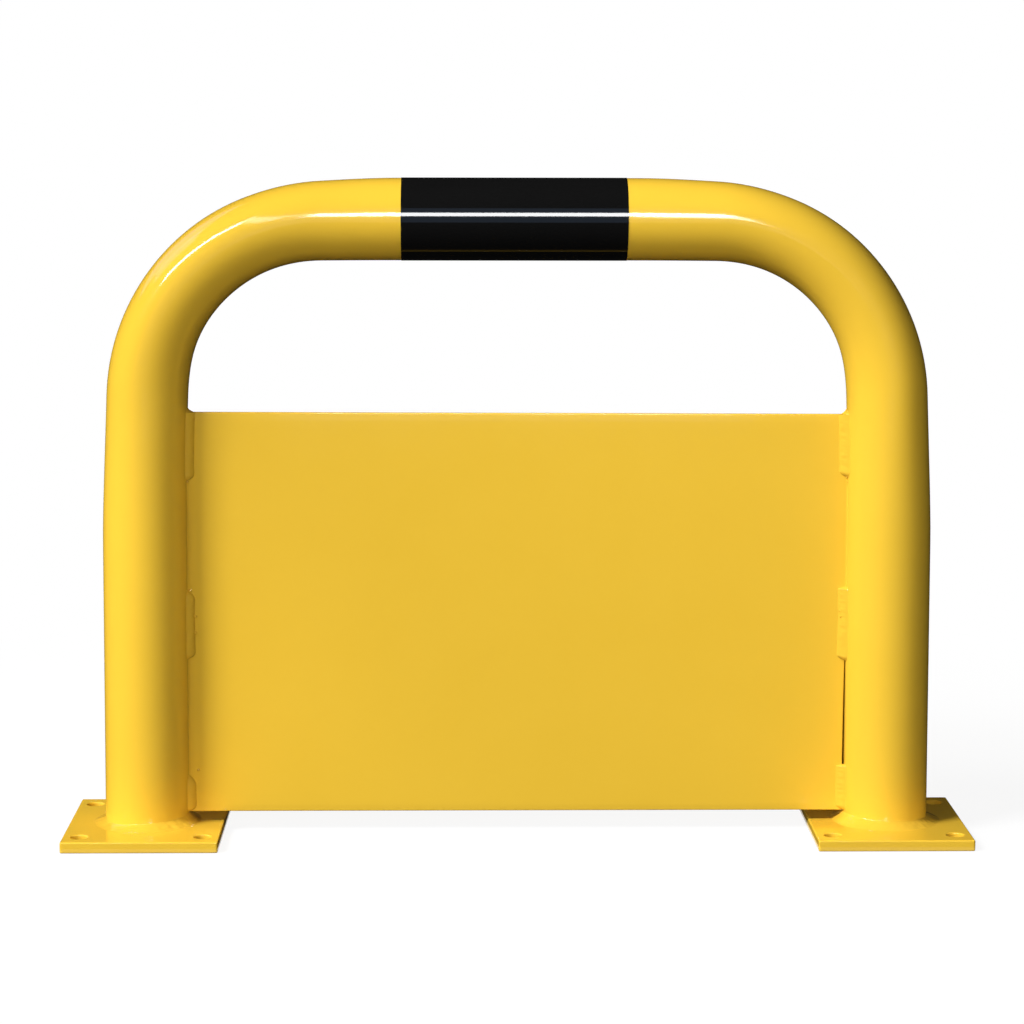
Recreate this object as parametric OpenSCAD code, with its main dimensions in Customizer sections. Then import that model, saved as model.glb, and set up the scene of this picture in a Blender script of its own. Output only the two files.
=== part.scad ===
// Hoop barrier: a bent round steel tube on two bolt-down plates, with a flat guard sheet between its legs.
// Units are millimetres. The origin is on the floor, midway between the legs.
// +X runs across the hoop, +Y runs through it and +Z is up.

/* [Hoop] */
// Width over the outer faces of the two legs
hoop_width = 750; // [620:1:1200]
// Height from the floor to the top of the bar
hoop_height = 598; // [560:1:1200]
// Outer diameter of the tube
tube_diameter = 76; // [60:0.5:90]
// Wall of the tube
tube_wall = 3; // [2:0.1:6]
// Radius of the two bends, to the middle of the tube
bend_radius = 160; // [110:1:200]

/* [Base plates] */
// Size of a plate across the hoop
plate_width = 140; // [132:1:200]
// Size of a plate through the hoop
plate_depth = 160; // [142:1:220]
// Thickness of a plate
plate_thickness = 10; // [6:0.5:15]
// Radius of the four upright corners of a plate
plate_corner_radius = 3; // [1:0.5:8]
// Bevel on the long edges of a plate
plate_edge_bevel = 0.8; // [0.3:0.1:1.5]
// Diameter of an anchor hole
anchor_hole_diameter = 15; // [9:0.5:22]
// Distance between anchor holes across the hoop
anchor_spacing_x = 110; // [90:1:118]
// Distance between anchor holes through the hoop
anchor_spacing_y = 120; // [90:1:138]

/* [Underrun panel] */
// Thickness of the guard sheet
panel_thickness = 4; // [2:0.5:8]
// Distance from the sheet's upper edge up to where the bends start
panel_bend_gap = 14.5; // [8:0.5:60]
// Clearance from the highest crest of the foot welds up to the sheet's lower edge
panel_weld_gap = 0.3; // [0.2:0.1:20]
// Fit-up gap between the sheet and each leg
panel_leg_gap = 0.5; // [0.2:0.1:0.9]
// How much wider that gap grows towards the right leg's lower corner
panel_right_taper = 0.8; // [0:0.1:2]

/* [Foot welds] */
// Reach of the foot weld out over the plate
foot_weld_reach = 11; // [6:0.5:14]
// Climb of the foot weld up the tube
foot_weld_climb = 7.4; // [5:0.1:14]
// Number of frozen puddles round one foot
foot_weld_puddles = 40; // [24:1:60]
// How far each puddle stands proud of the next
foot_weld_ripple = 0.9; // [0.2:0.1:1.5]
// How unevenly the hand-laid weld wanders in size
foot_weld_wander = 0.8; // [0:0.1:1.5]

/* [Stitch welds] */
// Reach of a stitch over the sheet
stitch_reach = 7; // [5:0.5:10]
// Climb of a stitch round the tube
stitch_climb = 6; // [4:0.5:9]
// Distance from one puddle of a stitch to the next
stitch_pitch = 5; // [4:0.5:10]
// How far each puddle stands proud of the next
stitch_ripple = 0.6; // [0.2:0.1:1]
// Lengths of the left leg's front stitches: bottom, middle, top
left_stitches = [34, 60, 63]; // [20:1:80]
// Lengths of the right leg's front stitches: bottom, middle, top
right_stitches = [43, 65, 60]; // [20:1:80]
// Height of the middle stitch above the lower edge of the sheet
middle_stitch_height = 171; // [150:1:190]
// How far the top stitch runs up past the sheet
top_stitch_overrun = 3; // [0:0.5:5]
// Length of each stitch behind the sheet
back_stitch_length = 80; // [40:1:90]
// Heights of the two rear stitches above the lower edge of the sheet
back_stitch_heights = [88, 254]; // [80:1:260]

/* [Black band] */
// Length of the black band on the bar
band_length = 202; // [100:1:300]
// How far the middle of the band lies to the right of the hoop's middle
band_offset = -4; // [-20:1:20]
// Thickness of the band's film
band_film = 0.3; // [0.2:0.05:0.6]

/* [Fit] */
// Seating gap between a weld or the film and the round face under it
seat_gap = 0.04; // [0.02:0.01:0.1]

/* [Hidden] */

yellow = "#f6cb3c";
black = "#18181a";

// Facets of a circle in the preview and of the exact round faces
round_fn = 96;
// Stations that draw one frozen puddle
puddle_steps = 3;
// Share of a puddle's bead that is left at the two ends of a stitch
stitch_end_share = 0.35;
// Puddles over which a stitch swells to its full size
stitch_run_in = 1.5;

tube_radius = tube_diameter / 2;
bore_radius = tube_radius - tube_wall;
leg_x = hoop_width / 2 - tube_radius;
bar_z = hoop_height - tube_radius;
leg_top = bar_z - bend_radius;
bar_half = leg_x - bend_radius;
panel_foot = plate_thickness + foot_weld_climb + foot_weld_wander + panel_weld_gap;
panel_top = leg_top - panel_bend_gap;
panel_edge = leg_x - tube_radius - panel_leg_gap;
seat_radius = tube_radius + seat_gap;

// The tube's centreline clad to the given radius. The legs' lower ends run past the plates by spare.
module hoop_run(radius, spare) {
    for (side = [0, 1])
        mirror([side, 0, 0]) {
            translate([leg_x, 0, plate_thickness - spare])
                cylinder(r = radius, h = leg_top - plate_thickness + spare, $fn = round_fn);
            translate([bar_half, 0, leg_top])
                rotate([90, 0, 0])
                    rotate_extrude(angle = 90, $fn = round_fn)
                        translate([bend_radius, 0])
                            circle(r = radius, $fn = round_fn);
        }
    translate([-bar_half, 0, bar_z])
        rotate([0, 90, 0])
            cylinder(r = radius, h = 2 * bar_half, $fn = round_fn);
}

// One tube, bent twice, open at its feet and closed there by the plates
module hoop_tube() {
    color(yellow)
        difference() {
            hoop_run(tube_radius, 0);
            hoop_run(bore_radius, 1);
        }
}

// A plate's outline with its upright corners rounded
module plate_outline() {
    inner_width = plate_width - 2 * plate_corner_radius;
    inner_depth = plate_depth - 2 * plate_corner_radius;
    square([plate_width, inner_depth], center = true);
    square([inner_width, plate_depth], center = true);
    for (x = [-1, 1], y = [-1, 1])
        translate([x * inner_width / 2, y * inner_depth / 2])
            circle(r = plate_corner_radius, $fn = 48);
}

// A bar as long as run, whose section is span wide and has the plate's bevels
module bevelled_bar(span, run) {
    half = span / 2;
    rotate([90, 0, 0])
        linear_extrude(height = run, center = true)
            polygon([
                [-half + plate_edge_bevel, 0],
                [half - plate_edge_bevel, 0],
                [half, plate_edge_bevel],
                [half, plate_thickness - plate_edge_bevel],
                [half - plate_edge_bevel, plate_thickness],
                [-half + plate_edge_bevel, plate_thickness],
                [-half, plate_thickness - plate_edge_bevel],
                [-half, plate_edge_bevel]
            ]);
}

// A plate with bevelled edges and four anchor holes, centred under a leg
module base_plate(side) {
    color(yellow)
        translate([side * leg_x, 0, 0])
            difference() {
                intersection() {
                    linear_extrude(height = plate_thickness)
                        plate_outline();
                    bevelled_bar(plate_width, plate_depth);
                    rotate([0, 0, 90])
                        bevelled_bar(plate_depth, plate_width);
                }
                for (x = [-1, 1], y = [-1, 1])
                    translate([x * anchor_spacing_x / 2, y * anchor_spacing_y / 2, -1])
                        cylinder(d = anchor_hole_diameter, h = plate_thickness + 2, $fn = 48);
            }
}

// The guard sheet in the hoop's middle plane, held by the stitches at both legs
module underrun_panel() {
    color(yellow)
        rotate([90, 0, 0])
            linear_extrude(height = panel_thickness, center = true)
                polygon([
                    [-panel_edge, panel_foot],
                    [panel_edge - panel_right_taper, panel_foot],
                    [panel_edge, panel_top],
                    [-panel_edge, panel_top]
                ]);
}

// Height of a frozen puddle at a station, from 0 to 1: it swells at once and dies away slowly
function puddle(station) =
    let (share = (station % puddle_steps) / puddle_steps)
    sin(180 * sqrt(share));

// Joins rings of points, each with the same count, into one closed skin
function skin_faces(rings, count, closed) = concat(
    [
        for (i = [0 : closed ? rings - 1 : rings - 2], k = [0 : count - 1])
            let (
                a = i * count + k,
                b = i * count + (k + 1) % count,
                c = (i + 1) % rings * count + (k + 1) % count,
                d = (i + 1) % rings * count + k
            )
            each [[a, b, c], [a, c, d]]
    ],
    closed ? [] : [
        [for (k = [count - 1 : -1 : 0]) k],
        [for (k = [0 : count - 1]) (rings - 1) * count + k]
    ]
);

// Section of the foot weld at a station, as [radius, height above the plate] pairs.
// Its face bulges with each puddle, and its size wanders as a hand's does.
function foot_section(station, stations) =
    let (
        turn = 360 * station / stations,
        drift = foot_weld_wander * (sin(2 * turn + 40) + sin(5 * turn)) / 2,
        reach = foot_weld_reach + drift,
        climb = foot_weld_climb + drift,
        bulge = 0.6 + foot_weld_ripple * puddle(station),
        inner = seat_radius / cos(180 / stations)
    )
    concat(
        [[inner, 0], [inner, climb]],
        [
            for (share = [0.25, 0.5, 0.75])
                [
                    inner + reach * share + bulge * sin(180 * share) * 0.6,
                    climb * (1 - share) + bulge * sin(180 * share) * 0.8
                ]
        ],
        [[inner + reach, 0]]
    );

// The hand-laid fillet weld right round one foot
module foot_weld(side) {
    stations = foot_weld_puddles * puddle_steps;
    points = [
        for (i = [0 : stations - 1], p = foot_section(i, stations))
            let (turn = 360 * i / stations)
            [p[0] * cos(turn), p[0] * sin(turn), p[1]]
    ];
    color(yellow)
        translate([side * leg_x, 0, plate_thickness])
            polyhedron(points = points, faces = skin_faces(stations, 6, true));
}

// A point on the tube's seat circle, given its distance from the hoop's middle plane, and lifted off it
function on_tube(depth, lift) = [sqrt(pow(seat_radius + lift, 2) - pow(depth, 2)), depth];

// Section of a stitch at a station, as [distance from the leg's axis, distance from the middle plane].
// The saddle is lifted so that the straight facets on either side of it clear the round tube.
function stitch_section(station, stations) =
    let (
        from_end = min(station, stations - 1 - station) / puddle_steps,
        swell = min(1, from_end / stitch_run_in),
        size = stitch_end_share + (1 - stitch_end_share) * sqrt(1 - pow(1 - swell, 2)),
        face = panel_thickness / 2,
        climb = stitch_climb * size,
        lift = pow(climb, 2) / (16 * tube_radius),
        root = on_tube(face, 0),
        saddle = on_tube(face + climb / 2, lift),
        crest = on_tube(face + climb, 0),
        toe = [root[0] + stitch_reach * size, face],
        bulge = (0.5 + stitch_ripple * puddle(station)) * size
    )
    concat(
        [root, saddle, crest],
        [
            for (share = [0.3, 0.65])
                crest * (1 - share) + toe * share + [0.65, 0.75] * bulge * sin(180 * share)
        ],
        [toe]
    );

// One stitch weld in the corner of sheet and tube. Side picks the leg, and face is 1 behind and -1 in front.
module stitch_weld(side, face, foot, top) {
    length = top - foot;
    puddles = max(4, round(length / stitch_pitch));
    stations = puddles * puddle_steps + 1;
    points = [
        for (i = [0 : stations - 1], p = stitch_section(i, stations))
            [p[0] - leg_x, p[1], foot + length * i / (stations - 1)]
    ];
    color(yellow)
        mirror([side > 0 ? 1 : 0, 0, 0])
            mirror([0, face < 0 ? 1 : 0, 0])
                polyhedron(points = points, faces = skin_faces(stations, 6, false));
}

// Front stitches of one leg: from the sheet's lower edge, at mid height and up to its top edge
module front_stitch_bottom(side, length) {
    stitch_weld(side, -1, panel_foot, panel_foot + length);
}

module front_stitch_middle(side, length) {
    middle = panel_foot + middle_stitch_height;
    stitch_weld(side, -1, middle - length / 2, middle + length / 2);
}

module front_stitch_top(side, length) {
    stitch_weld(side, -1, panel_top - length, panel_top + top_stitch_overrun);
}

// Rear stitches are staggered: each one lies behind a stretch that has none in front
module back_stitch(side, height) {
    middle = panel_foot + height;
    stitch_weld(side, 1, middle - back_stitch_length / 2, middle + back_stitch_length / 2);
}

// The black film wrapped once round the bar
module black_band() {
    color(black)
        translate([band_offset - band_length / 2, 0, bar_z])
            rotate([0, 90, 0])
                difference() {
                    cylinder(r = seat_radius + band_film, h = band_length, $fn = round_fn);
                    translate([0, 0, -1])
                        cylinder(r = seat_radius, h = band_length + 2, $fn = round_fn);
                }
}

hoop_tube();
base_plate(-1);  // left_base_plate
base_plate(1);  // right_base_plate
underrun_panel();
foot_weld(-1);  // left_foot_weld
foot_weld(1);  // right_foot_weld
front_stitch_bottom(-1, left_stitches[0]);  // left_front_stitch_bottom
front_stitch_middle(-1, left_stitches[1]);  // left_front_stitch_middle
front_stitch_top(-1, left_stitches[2]);  // left_front_stitch_top
front_stitch_bottom(1, right_stitches[0]);  // right_front_stitch_bottom
front_stitch_middle(1, right_stitches[1]);  // right_front_stitch_middle
front_stitch_top(1, right_stitches[2]);  // right_front_stitch_top
back_stitch(-1, back_stitch_heights[0]);  // left_back_stitch_lower
back_stitch(-1, back_stitch_heights[1]);  // left_back_stitch_upper
back_stitch(1, back_stitch_heights[0]);  // right_back_stitch_lower
back_stitch(1, back_stitch_heights[1]);  // right_back_stitch_upper
black_band();
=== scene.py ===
# %% [markdown]
# # A hoop barrier, dressed for its portrait
# The object is a guard for the corner of a rack: a thick steel tube bent into a hoop, welded onto two
# bolt-down plates, with a sheet between its legs that stops a pallet fork or a wheel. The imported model
# already has every size right. What it lacks is what a size can't say: how a tube flattens where it is
# bent, how weld metal freezes in uneven lumps, and how thick yellow powder coat rounds all of it.
# So the frame is loaded first and stays as it is, and each dressed piece is built onto it.

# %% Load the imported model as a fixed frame
import math

import bmesh
import bpy
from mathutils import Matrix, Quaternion, Vector, noise


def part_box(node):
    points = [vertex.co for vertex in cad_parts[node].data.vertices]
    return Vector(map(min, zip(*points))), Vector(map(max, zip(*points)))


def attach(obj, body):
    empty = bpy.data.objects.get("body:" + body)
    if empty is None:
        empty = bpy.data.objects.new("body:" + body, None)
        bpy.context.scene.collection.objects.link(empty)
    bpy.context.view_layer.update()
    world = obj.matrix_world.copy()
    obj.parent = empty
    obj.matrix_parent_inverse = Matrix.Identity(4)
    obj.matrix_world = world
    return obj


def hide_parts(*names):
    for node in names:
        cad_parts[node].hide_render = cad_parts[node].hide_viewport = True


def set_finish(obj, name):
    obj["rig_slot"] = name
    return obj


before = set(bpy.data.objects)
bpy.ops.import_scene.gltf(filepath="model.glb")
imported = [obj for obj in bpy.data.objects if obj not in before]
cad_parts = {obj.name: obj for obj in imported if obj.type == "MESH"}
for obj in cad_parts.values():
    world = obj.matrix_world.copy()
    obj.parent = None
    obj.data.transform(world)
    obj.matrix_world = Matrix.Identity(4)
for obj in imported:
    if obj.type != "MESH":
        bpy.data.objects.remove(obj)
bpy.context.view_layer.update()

print("packed nodes:", sorted(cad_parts))

# %% [markdown]
# Every size that the pieces share is read from the frame's own boxes, so that the dressed pieces lie
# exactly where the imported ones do. Only what a box can't show, such as the radius of a bend or the
# diameter of a hole, is written down here. All of it is in metres.

# %% Read the shared sizes from the frame
MM = 0.001
hoop_low, hoop_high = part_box("hoop_tube")
sheet_low, sheet_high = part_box("underrun_panel")
plate_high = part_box("right_base_plate")[1]

TUBE = (hoop_high.y - hoop_low.y) / 2
WALL = 3 * MM
BEND = 160 * MM
LEG_X = hoop_high.x - TUBE
BAR_Z = hoop_high.z - TUBE
PLATE_TOP = plate_high.z
BEND_Z = BAR_Z - BEND
BAR_HALF = LEG_X - BEND
print("tube radius", round(TUBE, 4), "leg at", round(LEG_X, 4), "bar at", round(BAR_Z, 4))

# %% [markdown]
# Blender keeps what a thing is, such as a mesh or a lens, apart from where it stands. Each step below
# makes such data first and then calls this helper, which puts it into the scene as an object.

# %% A helper that puts things into the scene
def put_in_scene(name, data):
    """An object made from the data, in the scene."""
    thing = bpy.data.objects.new(name, data)
    bpy.context.scene.collection.objects.link(thing)
    return thing


# %% [markdown]
# The photograph was taken from a little above the bar and a little to the left of the middle, with a
# long lens: the plates show their tops, and both legs stay nearly upright. The camera's place and
# tilt were found by matching corners of the plates, the sheet and the band. A small vertical shift
# keeps the legs parallel, as a photographer does with a shift lens.

# %% Set up the camera
LOOK_DOWN, ROLL, TURN = 0.0919, -0.0022, -0.01823

camera_data = bpy.data.cameras.new("portrait_lens")
camera_data.sensor_width = 36
camera_data.lens = 102.13
camera_data.shift_y = -0.15
camera = put_in_scene("portrait_camera", camera_data)
camera.location = (-0.0536, -2.6085, 0.6739)
camera.rotation_euler = (math.pi / 2 - LOOK_DOWN, ROLL, TURN)
bpy.context.scene.camera = camera
print("camera stands", round(-camera.location.y, 2), "m in front of the hoop")

# %% [markdown]
# Nearly every piece here is a run of something: tube, weld bead, film. A run is drawn as rings of
# points, one ring at each station along it, and neighbouring rings are joined by four-sided faces.
# Curves with a bevel could do the round ones too, but a ring can change its shape along the run, and
# that is just what a flattened bend or a lumpy weld does.

# %% A helper that joins rings of points into a piece
pieces = {}


def ring_faces(count, size, loop=False, open_ring=False):
    """Faces between count rings of size points. A loop joins the last ring to the first."""
    faces = []
    for i in range(count if loop else count - 1):
        j = (i + 1) % count
        for k in range(size - 1 if open_ring else size):
            m = (k + 1) % size
            faces.append((i * size + k, i * size + m, j * size + m, j * size + k))
    return faces


def make_piece(name, points, faces, slot, stands_for=(), crease=50):
    """A smooth piece that rides on the part, with sharp edges where it turns by more than crease."""
    mesh = bpy.data.meshes.new(name)
    mesh.from_pydata([tuple(p) for p in points], [], faces)
    tidy = bmesh.new()
    tidy.from_mesh(mesh)
    bmesh.ops.recalc_face_normals(tidy, faces=tidy.faces)
    tidy.to_mesh(mesh)
    tidy.free()
    mesh.shade_smooth()
    mesh.set_sharp_from_angle(angle=math.radians(crease))
    piece = put_in_scene(name, mesh)
    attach(piece, "root")
    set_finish(piece, slot)
    if stands_for:
        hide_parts(*stands_for)
    pieces[name] = piece
    return piece


print("three rings of eight points are joined by", len(ring_faces(3, 8)), "faces")

# %% [markdown]
# ## The bent tube
# On the real hoop a straight tube is pulled round a forming die. Its outer wall stretches and sinks in,
# its inner wall is squeezed into a slight hump where the bend starts, and the section ends up several
# millimetres oval. Down the legs that fades out, and along the bar a trace of it stays from bend to
# bend. A plain swept circle looks like plastic pipe next to that. So the ring at each station has
# three half-widths of its own: outwards, inwards, and through the hoop.

# %% Walk along the tube's middle line
LEG_RUN = BEND_Z - PLATE_TOP
BEND_RUN = BEND * math.pi / 2
HOOP_RUN = 2 * (LEG_RUN + BEND_RUN + BAR_HALF)


def tube_middle(run):
    """The middle line's point at a distance run from the left foot, and the way out of the hoop there."""
    if run > HOOP_RUN / 2:
        point, out = tube_middle(HOOP_RUN - run)
        return Vector((-point.x, 0, point.z)), Vector((-out.x, 0, out.z))
    if run <= LEG_RUN:
        return Vector((-LEG_X, 0, PLATE_TOP + run)), Vector((-1, 0, 0))
    turn = min((run - LEG_RUN) / BEND, math.pi / 2)
    out = Vector((-math.cos(turn), 0, math.sin(turn)))
    point = Vector((-BAR_HALF, 0, BEND_Z)) + out * BEND
    return point + Vector((max(0, run - LEG_RUN - BEND_RUN), 0, 0)), out


print("length of the bent tube:", round(HOOP_RUN, 3), "m")

# %% Let the section sink in round the bends
OUTER_SINK, BAR_SINK = 7.0 * MM, 2.0 * MM
LEG_FADE, LEG_FADE_POWER = 130 * MM, 1.58
BAR_FADE_START, BAR_FADE = 65 * MM, 130 * MM
INNER_HUMP, BAR_HUMP_SHARE = 1.9 * MM, 0.2
HUMP_INSET, HUMP_LENGTH = 13 * MM, 42 * MM
SIDE_SWELL, SWELL_FADE, SWELL_FADE_POWER = 1.0 * MM, 20 * MM, 1.5
ROUND_POINTS = 112


def smooth(share):
    """An S-shaped step from 0 to 1."""
    share = min(1, max(0, share))
    return share * share * (3 - 2 * share)


def hump_share(from_middle):
    """How much of the inner hump there is this far from a bend's middle. It is fullest near the end."""
    return math.exp(-((from_middle - BEND_RUN / 2 + HUMP_INSET) / HUMP_LENGTH) ** 2)


def half_widths(run):
    """The section's half-widths at run: outwards, inwards, and through the hoop."""
    past = min(run, HOOP_RUN - run) - LEG_RUN - BEND_RUN / 2
    if past < 0:
        sink = OUTER_SINK * (1 - min(1, -past / (BEND_RUN / 2 + LEG_FADE)) ** 2) ** LEG_FADE_POWER
        hump = hump_share(-past)
    else:
        sink = BAR_SINK + (OUTER_SINK - BAR_SINK) * (1 - smooth((past - BAR_FADE_START) / BAR_FADE))
        hump = BAR_HUMP_SHARE * hump_share(past)
    swell = (1 - min(1, abs(past) / (BEND_RUN / 2 + SWELL_FADE)) ** 2) ** SWELL_FADE_POWER
    return TUBE - sink, TUBE + INNER_HUMP * hump, TUBE + SIDE_SWELL * swell


def tube_ring(run, lift=0, turns=None):
    """Points of the section at run, lifted off its surface. Turns lists the angles, from outwards."""
    middle, out = tube_middle(run)
    outer, inner, side = half_widths(run)
    ring = []
    for turn in turns or [2 * math.pi * k / ROUND_POINTS for k in range(ROUND_POINTS)]:
        across = outer if math.cos(turn) > 0 else inner
        ring.append(middle + out * (across + lift) * math.cos(turn)
                    + Vector((0, (side + lift) * math.sin(turn), 0)))
    return ring


print("half-widths in mm at a bend's middle:",
      [round(width * 1000, 1) for width in half_widths(LEG_RUN + BEND_RUN / 2)])

# %% Build the hollow tube
LEG_STEPS, BEND_STEPS, BAR_STEPS = 26, 40, 12


def tube_stations():
    """Distances along the tube: close together round the bends and wider apart on the straights."""
    leg = [LEG_RUN * k / LEG_STEPS for k in range(LEG_STEPS)]
    bend = [LEG_RUN + BEND_RUN * k / BEND_STEPS for k in range(BEND_STEPS)]
    bar = [LEG_RUN + BEND_RUN + BAR_HALF * k / BAR_STEPS for k in range(BAR_STEPS)]
    half = leg + bend + bar
    return half + [HOOP_RUN / 2] + [HOOP_RUN - run for run in reversed(half)]


def build_bent_tube():
    stations = tube_stations()
    outside = [p for run in stations for p in tube_ring(run)]
    inside = [p for run in stations for p in tube_ring(run, -WALL)]
    skin = ring_faces(len(stations), ROUND_POINTS)
    faces = skin + [tuple(len(outside) + v for v in face) for face in skin]
    for start in (0, (len(stations) - 1) * ROUND_POINTS):
        for k in range(ROUND_POINTS):
            m = (k + 1) % ROUND_POINTS
            faces.append((start + k, start + m, len(outside) + start + m, len(outside) + start + k))
    return make_piece("bent_tube", outside + inside, faces, "tube_coat", ["hoop_tube"])


bent_tube = build_bent_tube()
print("bent tube:", len(bent_tube.data.vertices), "points")

# %% [markdown]
# ## The foot plates
# Each plate is cut from 10 mm steel, drilled with four holes for floor anchors, and coated. The coat
# pulls back over the edges, so they catch the light as a fine bright line. The plate is drawn as a
# filled outline curve with four round holes. The curve's own bevel then rounds every rim at once, the
# holes' too, which is quicker and cleaner than cutting holes and bevelling afterwards. Smooth shading
# would let the rims' turn spread over the long faces between them, as if the plate were dented, so
# the normals are weighted: the wide faces stay flat, and all the turn is left to the rims.

# %% Draw one plate
CORNER = 1.8 * MM
RIM = 1.3 * MM
HOLE = 7.5 * MM
HOLE_SPACING = (110 * MM, 120 * MM)
CORNER_STEPS, HOLE_STEPS = 8, 48


def add_outline(curve, points):
    """Adds a closed outline of short straight steps to a flat curve."""
    spline = curve.splines.new("POLY")
    spline.points.add(len(points) - 1)
    for target, (x, y) in zip(spline.points, points):
        target.co = (x, y, 0, 1)
    spline.use_cyclic_u = True


def round_outline(x, y, radius, start, end, steps):
    """Points on an arc round (x, y), from the start angle to the end angle in degrees."""
    angles = [math.radians(start + (end - start) * k / steps) for k in range(steps + 1)]
    return [(x + radius * math.cos(a), y + radius * math.sin(a)) for a in angles]


def plate_curve(half_x, half_y):
    """A flat curve in the plate's outline, with its four anchor holes."""
    curve = bpy.data.curves.new("plate_outline", "CURVE")
    curve.dimensions, curve.fill_mode = "2D", "BOTH"
    outline = []
    for quarter, (sx, sy) in enumerate([(1, 1), (-1, 1), (-1, -1), (1, -1)]):
        outline += round_outline(sx * (half_x - CORNER), sy * (half_y - CORNER), CORNER - RIM,
                                 90 * quarter, 90 * quarter + 90, CORNER_STEPS)
    add_outline(curve, outline)
    for sx in (-1, 1):
        for sy in (-1, 1):
            hole = round_outline(sx * HOLE_SPACING[0] / 2, sy * HOLE_SPACING[1] / 2, HOLE + RIM,
                                 0, 360, HOLE_STEPS)
            add_outline(curve, hole[:-1])
    curve.extrude = PLATE_TOP / 2 - RIM
    curve.bevel_depth, curve.bevel_resolution = RIM, 3
    return curve


print("anchor holes are", round(2 * HOLE * 1000, 1), "mm wide")

# %% Turn the curve into two plate pieces
SAME_POINT = 0.02 * MM


def build_plate(side, name):
    low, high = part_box(name)
    drawn = put_in_scene("plate_drawing", plate_curve((high.x - low.x) / 2, (high.y - low.y) / 2))
    shape = bpy.data.meshes.new_from_object(drawn.evaluated_get(bpy.context.evaluated_depsgraph_get()))
    middle = Vector(((low.x + high.x) / 2, 0, PLATE_TOP / 2))
    solid = bmesh.new()
    solid.from_mesh(shape)
    bmesh.ops.remove_doubles(solid, verts=solid.verts, dist=SAME_POINT)
    points = [v.co + middle for v in solid.verts]
    faces = [tuple(v.index for v in face.verts) for face in solid.faces]
    solid.free()
    bpy.data.objects.remove(drawn)
    plate = make_piece(side + "_foot_plate", points, faces, "plate_coat", [name], crease=30)
    weighting = plate.modifiers.new("wide_faces_stay_flat", "WEIGHTED_NORMAL")
    weighting.keep_sharp = True
    return plate


for side, name in (("left", "left_base_plate"), ("right", "right_base_plate")):
    plate = build_plate(side, name)
    print(plate.name, "size in mm:", [round(d * 1000, 1) for d in plate.dimensions])

# %% [markdown]
# ## The guard sheet
# The sheet is a single plate of 4 mm steel. Welding pulls it slightly out of flat, its free edges are
# soft under the coat, and where it meets a leg the coat has run together into the corner and closed
# the fit-up gap. Only low on the right leg is the gap too wide to close from the front, so that a dark
# slot is left there, which narrows to nothing behind, where the coat pooled. The top was cut a little
# out of square. Rows and columns of points make all of it, because each point can ask how far it
# stands from the leg and from the free edges.

# %% Say where the sheet's edges run
SHEET_HALF = (sheet_high.y - sheet_low.y) / 2
COAT_MEET = 0.3 * MM
SLOT_LOW, SLOT_HIGH = 60 * MM, 163 * MM
SLOT_NARROW, SLOT_WIDENING, SLOT_POWER = 0.45 * MM, 1.40 * MM, 0.6
TOP_DROP, TOP_SLANT = 1.5 * MM, 0.003


def leg_inside(height):
    """Distance from a leg's axis to its skin on the inner side."""
    return half_widths(height - PLATE_TOP)[1]


def slot_width(side, height):
    """Width of the open slot beside the right leg, and 0 where the coat has closed it."""
    if side < 0 or not SLOT_LOW < height < SLOT_HIGH:
        return 0
    down = (SLOT_HIGH - height) / (SLOT_HIGH - SLOT_LOW)
    return SLOT_NARROW + SLOT_WIDENING * down ** SLOT_POWER


def sheet_edge(side, height, face=-1):
    """How far the sheet's edge stands from the hoop's middle. The slot opens on the front face only."""
    slot = slot_width(side, height) if face < 0 else 0
    return LEG_X - leg_inside(height) + (-slot if slot else COAT_MEET)


def sheet_drop(x):
    """How far the sheet's top edge lies below a square cut."""
    return TOP_DROP + TOP_SLANT * x


print("slot in mm, at its top and its foot:",
      [round(slot_width(1, height) * 1000, 2) for height in (SLOT_HIGH - MM, SLOT_LOW + MM)])

# %% Shape the sheet's thickness and bow
SHEET_ROUND = 0.9 * MM
SHEET_BOW = 0.5 * MM
BUCKLE_SHARE, RIPPLE_SHARE = 0.6, 0.25
RIPPLE_SCALE, RIPPLE_SEED = 9, 4.2
COAT_FILL, COAT_FILL_REACH = 0.7 * MM, 1.7 * MM


def sheet_bow(x, height):
    """How far the sheet leans out of flat: a shallow buckle between the welds, with a slow ripple."""
    across = x / sheet_high.x
    up = (height - sheet_low.z) / (sheet_high.z - sheet_low.z)
    buckle = math.sin(math.pi * up) * (1 - across ** 2)
    ripple = noise.noise(Vector((x * RIPPLE_SCALE, RIPPLE_SEED, height * RIPPLE_SCALE)))
    return SHEET_BOW * (BUCKLE_SHARE * buckle + RIPPLE_SHARE * ripple * (1 - across ** 4))


def sheet_depth(side, from_leg, from_end, height, face=-1):
    """Half the sheet's thickness at a point this far from the leg and from the nearest free edge."""
    depth = SHEET_HALF
    round_to = [from_end]
    if face < 0 and slot_width(side, height):
        round_to.append(from_leg)
    else:
        depth += COAT_FILL * max(0, 1 - from_leg / COAT_FILL_REACH) ** 2
    for distance in round_to:
        if distance < SHEET_ROUND:
            depth -= SHEET_ROUND - math.sqrt(SHEET_ROUND ** 2 - (SHEET_ROUND - distance) ** 2)
    return depth


print("half thickness in mm, at the leg and clear of it:",
      [round(sheet_depth(-1, d * MM, 1, 0.2) * 1000, 2) for d in (0, 1, 5)])

# %% Set the sheet's columns and rows
# Distances in millimetres from an edge, and from an end of the slot.
EDGE_STEPS = [0, 0.12, 0.3, 0.55, 0.9, 1.3, 1.75, 2.6]
SLOT_STEPS = [-0.6, -0.05, 0.05, 0.6]
EDGE_ZONE = EDGE_STEPS[-1] * MM
SHEET_COLUMNS, SHEET_ROWS = 60, 46


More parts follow.
